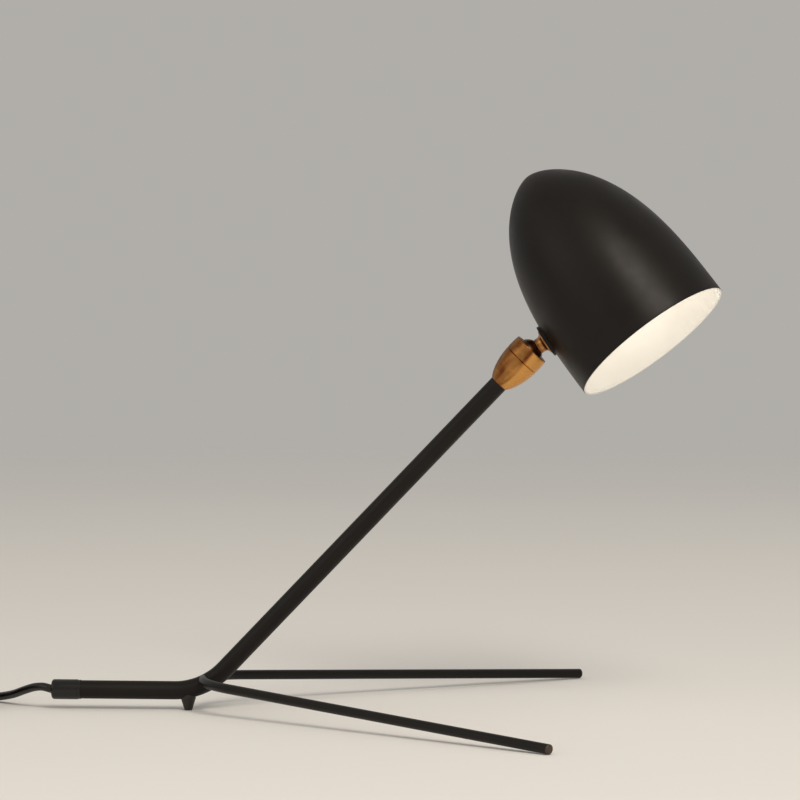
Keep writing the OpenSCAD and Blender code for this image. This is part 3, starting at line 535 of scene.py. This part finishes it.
black_plastic = moulded("glossy_black_plastic", (0.0040, 0.0034, 0.0030), 0.20, 0.000008)
housing_plastic = moulded("switch_housing_plastic", (0.0075, 0.0070, 0.0065), 0.36, 0.00008, 1100.0)
rocker_plastic = moulded("rocker_plastic", (0.016, 0.015, 0.014), 0.30)
peg_plastic = moulded("peg_plastic", (0.0065, 0.0058, 0.0050), 0.40)
tip_plastic = moulded("tip_plastic", (0.035, 0.022, 0.012), 0.42, 0.00005)
holder_plastic = moulded("lampholder_plastic", (0.024, 0.015, 0.010), 0.28)
nylon = moulded("white_nylon", (0.72, 0.70, 0.64), 0.45)
flex_skin = moulded("flex_skin", (0.0055, 0.0048, 0.0045), 0.24, 0.00004, 260.0)

# %% [markdown]
# The joint is the jewel of this lamp. Its cup, collar and stem are turned from brass and only lightly
# lacquered, so the lathe's fine rings and a rosy, slightly uneven tone stay visible. Part of that tone
# is painted light: soft bands along the axis are painted reflections, one side of the cup is painted
# lit and the rest in shade, and a dark band at the cup's mouth is a painted reflection of the black
# shade. To run rings round a piece, its material needs coordinates that lie along that piece's own
# axis: a Mapping node of type Texture undoes the piece's place and turn.

# %% Axes of the joint
ARM_ANGLE = math.radians(46.3)
BALL_MIDDLE = Vector((202.909, 0, 213.986)) * MM
ARM_TURN = Euler((0, math.pi / 2 - ARM_ANGLE, 0))
STEM_LEAN = HEAD_TURN = math.radians(12.8)
STEM_TURN = Euler((0, math.pi / 2 - ARM_ANGLE + STEM_LEAN, 0))


def on_axis(tree, place, middle, turn):
    """Coordinates whose Z runs along a turned piece's axis."""
    node = add(tree, "ShaderNodeMapping", Vector=place, Location=middle, Rotation=turn)
    node.vector_type = "TEXTURE"
    return node.outputs[0]


# %% Brass, a ball painted dark with shade, and steel
def turned_metal(name, light, dark, roughness, middle, turn, rings, depth, dark_bands=(), lit_side_r=None):
    """Metal off the lathe, with rings, painted reflection streaks and dark bands; given a side radius, one
    side is painted bright as if lit and the rest darker as if in shade.
    """
    material, tree, shader, place = finish(name, light, roughness, 1.0)
    axis = on_axis(tree, place, middle, turn)
    lines = use(tree, rings_and_painted_reflection, Vector=axis, Rings_per_Metre=rings)
    marks = use(tree, handling, Vector=place, Patch_Scale=90.0, Amount=1.0)
    tone = maths(tree, "ADD", maths(tree, "MULTIPLY", lines["Painted Reflection"], 0.50),
                 maths(tree, "MULTIPLY", maths(tree, "SUBTRACT", lines["Height"], 0.3), 0.55))
    tone = maths(tree, "ADD", tone, maths(tree, "MULTIPLY", marks["Smudge"], 0.25), clamp=True)
    # Painted light and shade: towards +X across the axis the metal is painted bright golden, as if lit, and
    # elsewhere darker, as if in shade.
    if lit_side_r:
        side = add(tree, "ShaderNodeSeparateXYZ", Vector=axis).outputs["X"]
        side = maths(tree, "DIVIDE", side, lit_side_r * MM)
        side = maths(tree, "ADD", side, ranged(tree, lines["Painted Reflection"], 0.12, -0.12))
        lit_side = add(tree, "ShaderNodeMapRange", Value=side, From_Min=0.12, From_Max=0.42, To_Max=0.72)
        left = maths(tree, "SUBTRACT", 1.0, lit_side.outputs[0])
        tone = maths(tree, "MULTIPLY", maths(tree, "ADD", tone, 0.38, clamp=True), left)
    for station, reach in dark_bands:
        edge = use(tree, dark_band, Vector=axis, Station=station * MM, Reach=reach * MM)
        tone = maths(tree, "MAXIMUM", tone, edge["Tarnish"])
    tree.links.new(between(tree, tone, light, dark), shader.inputs["Base Color"])
    rough = maths(tree, "ADD", ranged(tree, lines["Height"], roughness - 0.05, roughness + 0.09),
                  maths(tree, "MULTIPLY", tone, 0.08))
    tree.links.new(rough, shader.inputs["Roughness"])
    bumped(tree, shader, lines["Height"], 0.45, depth)
    return material


BRASS_RINGS, BALL_RINGS, STEEL_RINGS = 4200.0, 3000.0, 2500.0
# Painted reflection: the dark band at the cup's mouth stands for the black shade mirrored there. The other
# band darkens the cup's foot.
cup_brass = turned_metal("cup_brass", (0.77, 0.39, 0.11), (0.155, 0.046, 0.014), 0.26, BALL_MIDDLE,
                         ARM_TURN, BRASS_RINGS, 0.00003, ((3.9, 1.7), (-24.8, 0.8)), lit_side_r=11.4)
stem_brass = turned_metal("stem_brass", (0.62, 0.30, 0.10), (0.20, 0.075, 0.030), 0.26, BALL_MIDDLE,
                          STEM_TURN, BRASS_RINGS, 0.00003, ((8.0, 1.4),))
# Painted shade: the ball and its seat are painted a dark reddish brown, as the ball looks in the shade of the
# cup's mouth.
painted_shade_ball = turned_metal("painted_shade_ball", (0.16, 0.070, 0.038), (0.055, 0.023, 0.013), 0.28, BALL_MIDDLE,
                           STEM_TURN, BALL_RINGS, 0.00001)
plain_steel = turned_metal("plain_steel", (0.56, 0.55, 0.53), (0.36, 0.35, 0.34), 0.30, BALL_MIDDLE,
                           STEM_TURN, STEEL_RINGS, 0.00001)
screw_brass = turned_metal("screw_brass", (0.72, 0.50, 0.22), (0.44, 0.28, 0.11), 0.30, BALL_MIDDLE,
                           STEM_TURN, STEEL_RINGS, 0.00001)

# %% [markdown]
# A plug for a mains lead has pins that are bare only towards their tips: a plastic sleeve covers the
# first half, flush with the metal. One material can show both, because the pins run along Y: a step
# on the Y coordinate switches from plastic to nickel.

# %% Plug pins
pin_finish, tree, shader, place = finish("sleeved_pins", (0.62, 0.60, 0.56), 0.22)
split = add(tree, "ShaderNodeSeparateXYZ", Vector=place)
SLEEVE_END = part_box("plug_body")[0][1] - 10 * MM
bare = maths(tree, "LESS_THAN", split.outputs["Y"], SLEEVE_END)
tree.links.new(between(tree, bare, (0.010, 0.010, 0.010), (0.62, 0.60, 0.56)), shader.inputs["Base Color"])
tree.links.new(bare, shader.inputs["Metallic"])
marks = use(tree, handling, Vector=place, Patch_Scale=200.0, Amount=1.0)
tree.links.new(ranged(tree, marks["Smudge"], 0.20, 0.34), shader.inputs["Roughness"])
print("pins are bare below y = %.3f" % SLEEVE_END)

# %% [markdown]
# The bulb is on in the photograph, and the inside of the shade is white enamel that it floods with
# light. Opal glass hides the filament, so the whole globe glows evenly: emission on the surface does
# that. It is kept just strong enough to fill the shade, because the studio lamps light the rest.

# %% White enamel and opal glass
enamel, tree, shader, place = finish("white_enamel", (0.86, 0.84, 0.79), 0.32)
coat = use(tree, sprayed_coat, Vector=place, Pebble_Scale=700.0)
tree.links.new(between(tree, coat["Tone"], (0.84, 0.82, 0.77), (0.89, 0.87, 0.83)),
               shader.inputs["Base Color"])
tree.links.new(ranged(tree, coat["Tone"], 0.28, 0.38), shader.inputs["Roughness"])
bumped(tree, shader, coat["Height"], 0.3, 0.00005)

opal, tree, shader, place = finish("opal_glass", (0.95, 0.92, 0.85), 0.16)
cloud = use(tree, sprayed_coat, Vector=place, Pebble_Scale=120.0, Wave_Scale=35.0)
shader.inputs["Emission Strength"].default_value = 2.45
tree.links.new(between(tree, cloud["Tone"], (1.0, 0.93, 0.83), (1.0, 0.96, 0.88)),
               shader.inputs["Emission Color"])
tree.links.new(ranged(tree, cloud["Height"], 0.12, 0.22), shader.inputs["Roughness"])

# %% Give the solids their finishes
worn_by = {
    black_paint: ["stand_tube", "saddle_washer"],
    leg_paint: ["leg_left", "leg_right"],
    tip_plastic: ["leg_tips"],
    peg_plastic: ["foot_peg"],
    black_plastic: ["end_bush"],
    flex_skin: ["tube_flex"],
    nylon: ["cord_grip"],
    cup_brass: ["socket_cup", "socket_collar"],
    stem_brass: ["ball_stem"],
    painted_shade_ball: ["ball", "ball_seat"],
    plain_steel: ["arm_nipple", "seat_spring", "stem_clip", "inner_washer", "stem_nut", "holder_bracket",
                  "bracket_screws", "bulb_cap", "switch_screws"],
    screw_brass: ["holder_thread", "holder_contact"],
    holder_plastic: ["lampholder"],
    opal: ["bulb_globe"],
    pin_finish: ["plug_pins"],
}
for material, names in worn_by.items():
    for name in names:
        for place_on in nodes[name].material_slots:
            place_on.material = material
for piece, material in ((switch_tray, housing_plastic), (switch_lid, housing_plastic),
                        (rocker_cap, rocker_plastic), (plug_shell, black_plastic), (lamp_flex, flex_skin),
                        (plug_flex, flex_skin), (holder_flex, flex_skin)):
    piece.data.materials.clear()
    piece.data.materials.append(material)
print("finished solids:", sum(len(names) for names in worn_by.values()))

# %% [markdown]
# ## The shade
# The real shade is spun: a disc of aluminium is pressed over a wooden former while it turns on a
# lathe. We do much the same. A ring is added at the rim and extruded step by step towards the nose,
# narrower each time, by the same formula that the solid has. Solidify then gives it its wall, with
# white enamel on the inner faces, and a small bevel softens the rim.

# %% Where the shade is
SHADE_R, SHADE_H, SHADE_WALL = 50.35, 126.0, 1.2
FULLNESS, NOSE, STEM_STATION, WALL_AT = 3.01, 1.57, 39.5, 14.0


def shade_radius(z):
    """The shade's outer radius at a height over its rim, both in millimetres."""
    return SHADE_R * max(0.0, 1 - (z / SHADE_H) ** FULLNESS) ** (1 / NOSE)


stem_side = shade_radius(STEM_STATION)
wall_slope = math.atan(shade_radius(STEM_STATION - 0.5) - shade_radius(STEM_STATION + 0.5))
head_place = (Matrix.Translation(BALL_MIDDLE) @ STEM_TURN.to_matrix().to_4x4()
              @ Matrix.Rotation(-HEAD_TURN, 4, "Z"))
shade_place = (head_place @ Matrix.Translation((0, 0, WALL_AT * MM))
               @ Matrix.Rotation(-math.pi / 2 - wall_slope, 4, "Y") @ Matrix.Rotation(math.pi, 4, "Z")
               @ Matrix.Translation((-stem_side * MM, 0, -STEM_STATION * MM)))
print("rim middle", [round(v * 1000, 1) for v in shade_place.translation])


# %% Spin the shade
bpy.ops.object.select_all(action="DESELECT")
bpy.ops.mesh.primitive_circle_add(vertices=160, radius=shade_radius(0) * MM, fill_type="NOTHING")
shade_shell = start_piece("shade_shell")
bpy.ops.mesh.select_all(action="SELECT")
STATIONS = 72
heights = [SHADE_H * math.sin(math.pi / 2 * i / STATIONS) for i in range(STATIONS + 1)]
for low, high in zip(heights[:-2], heights[1:-1]):
    ratio = shade_radius(high) / shade_radius(low)
    bpy.ops.mesh.extrude_region_move(TRANSFORM_OT_translate={"value": (0, 0, (high - low) * MM)})
    bpy.ops.transform.resize(value=(ratio, ratio, 1), center_override=(0, 0, high * MM))
bpy.ops.mesh.extrude_region_move(TRANSFORM_OT_translate={"value": (0, 0, (heights[-1] - heights[-2]) * MM)})
bpy.ops.mesh.merge(type="CENTER")
bpy.ops.mesh.select_all(action="SELECT")
bpy.ops.mesh.normals_make_consistent(inside=False)
settle(shade_shell, shade_place, "head")

# %% Give the shade its wall and enamel
shade_shell.data.materials.append(black_paint)
shade_shell.data.materials.append(enamel)
wall = shade_shell.modifiers.new("wall", "SOLIDIFY")
wall.thickness = SHADE_WALL * MM
wall.offset = -1
wall.use_even_offset = True
wall.material_offset = 1
wall.material_offset_rim = 1
edge = shade_shell.modifiers.new("edge", "BEVEL")
edge.width = 0.45 * MM
edge.segments = 3
edge.limit_method = "ANGLE"
edge.angle_limit = math.radians(50)
bpy.context.view_layer.objects.active = shade_shell
for step in ("wall", "edge"):
    bpy.ops.object.modifier_apply(modifier=step)
bpy.ops.object.select_all(action="DESELECT")
shade_shell.select_set(True)
bpy.ops.object.shade_smooth_by_angle(angle=math.radians(40))
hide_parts("shade")
print("shade faces:", len(shade_shell.data.polygons))

# %% [markdown]
# ## The studio
# The lamp stands on a pale round floor, which fades into the pale room some way off, so that there is
# no edge behind the lamp from any side. A backdrop would hide it from behind. Two large soft lamps do
# the rest: one high at the front right draws the long highlight on the shade, and a weaker one at the
# left opens up the shadows. They stand well away, so that the floor under them is no brighter.

# %% Floor
FLOOR_R, SOLID_TO, GONE_AT = 4.5, 0.9, 3.4
FLOOR_MIDDLE = (0.1, 0, -0.0002)
bpy.ops.object.select_all(action="DESELECT")
bpy.ops.mesh.primitive_circle_add(vertices=96, radius=FLOOR_R, fill_type="NGON")
pale_floor = start_piece("pale_floor")
bpy.ops.mesh.select_all(action="SELECT")
bpy.ops.mesh.inset(thickness=1.5)
bpy.ops.transform.translate(value=FLOOR_MIDDLE)
bpy.ops.object.mode_set(mode="OBJECT")
floor_finish, tree, shader, place = finish("floor_finish", (0.80, 0.79, 0.77), 0.9)
shader.inputs["Specular IOR Level"].default_value = 0.1
floor_tone = add(tree, "ShaderNodeTexNoise", Vector=place, Scale=3.0, Detail=2.0)
tree.links.new(between(tree, floor_tone.outputs["Fac"], (0.79, 0.78, 0.76), (0.81, 0.80, 0.78)),
               shader.inputs["Base Color"])
reach = add(tree, "ShaderNodeVectorMath", i0=place)
reach.operation = "LENGTH"
fade = add(tree, "ShaderNodeMapRange", Value=reach.outputs["Value"], From_Min=SOLID_TO, From_Max=GONE_AT,
           To_Min=1.0, To_Max=0.0)
fade.interpolation_type = "SMOOTHERSTEP"
tree.links.new(fade.outputs[0], shader.inputs["Alpha"])
pale_floor.data.materials.append(floor_finish)


# %% Lamps and world
def soft_lamp(name, place, target, size, watts, colour):
    """A rectangular lamp that looks at a target."""
    light = bpy.data.lights.new(name, "AREA")
    light.shape = "RECTANGLE"
    light.size, light.size_y = size
    light.energy = watts
    light.color = colour
    lamp = bpy.data.objects.new(name, light)
    aim = (Vector(target) - Vector(place)).to_track_quat("-Z", "Y")
    lamp.matrix_world = Matrix.Translation(place) @ aim.to_matrix().to_4x4()
    bpy.context.scene.collection.objects.link(lamp)


soft_lamp("window", (1.28, -2.43, 2.58), (0.2, 0, 0.2), (1.6, 1.6), 87, (1.0, 0.90, 0.78))
soft_lamp("fill", (-2.6, -1.8, 1.6), (0.1, 0, 0.15), (2.7, 2.7), 16, (1.0, 0.95, 0.88))

world = bpy.data.worlds.new("pale_room")
world.use_nodes = True
bpy.context.scene.world = world
sky = world.node_tree.nodes["Background"]
sky.inputs["Color"].default_value = (0.93, 0.90, 0.85, 1)
sky.inputs["Strength"].default_value = 0.47
bpy.context.scene.view_settings.view_transform = "Standard"
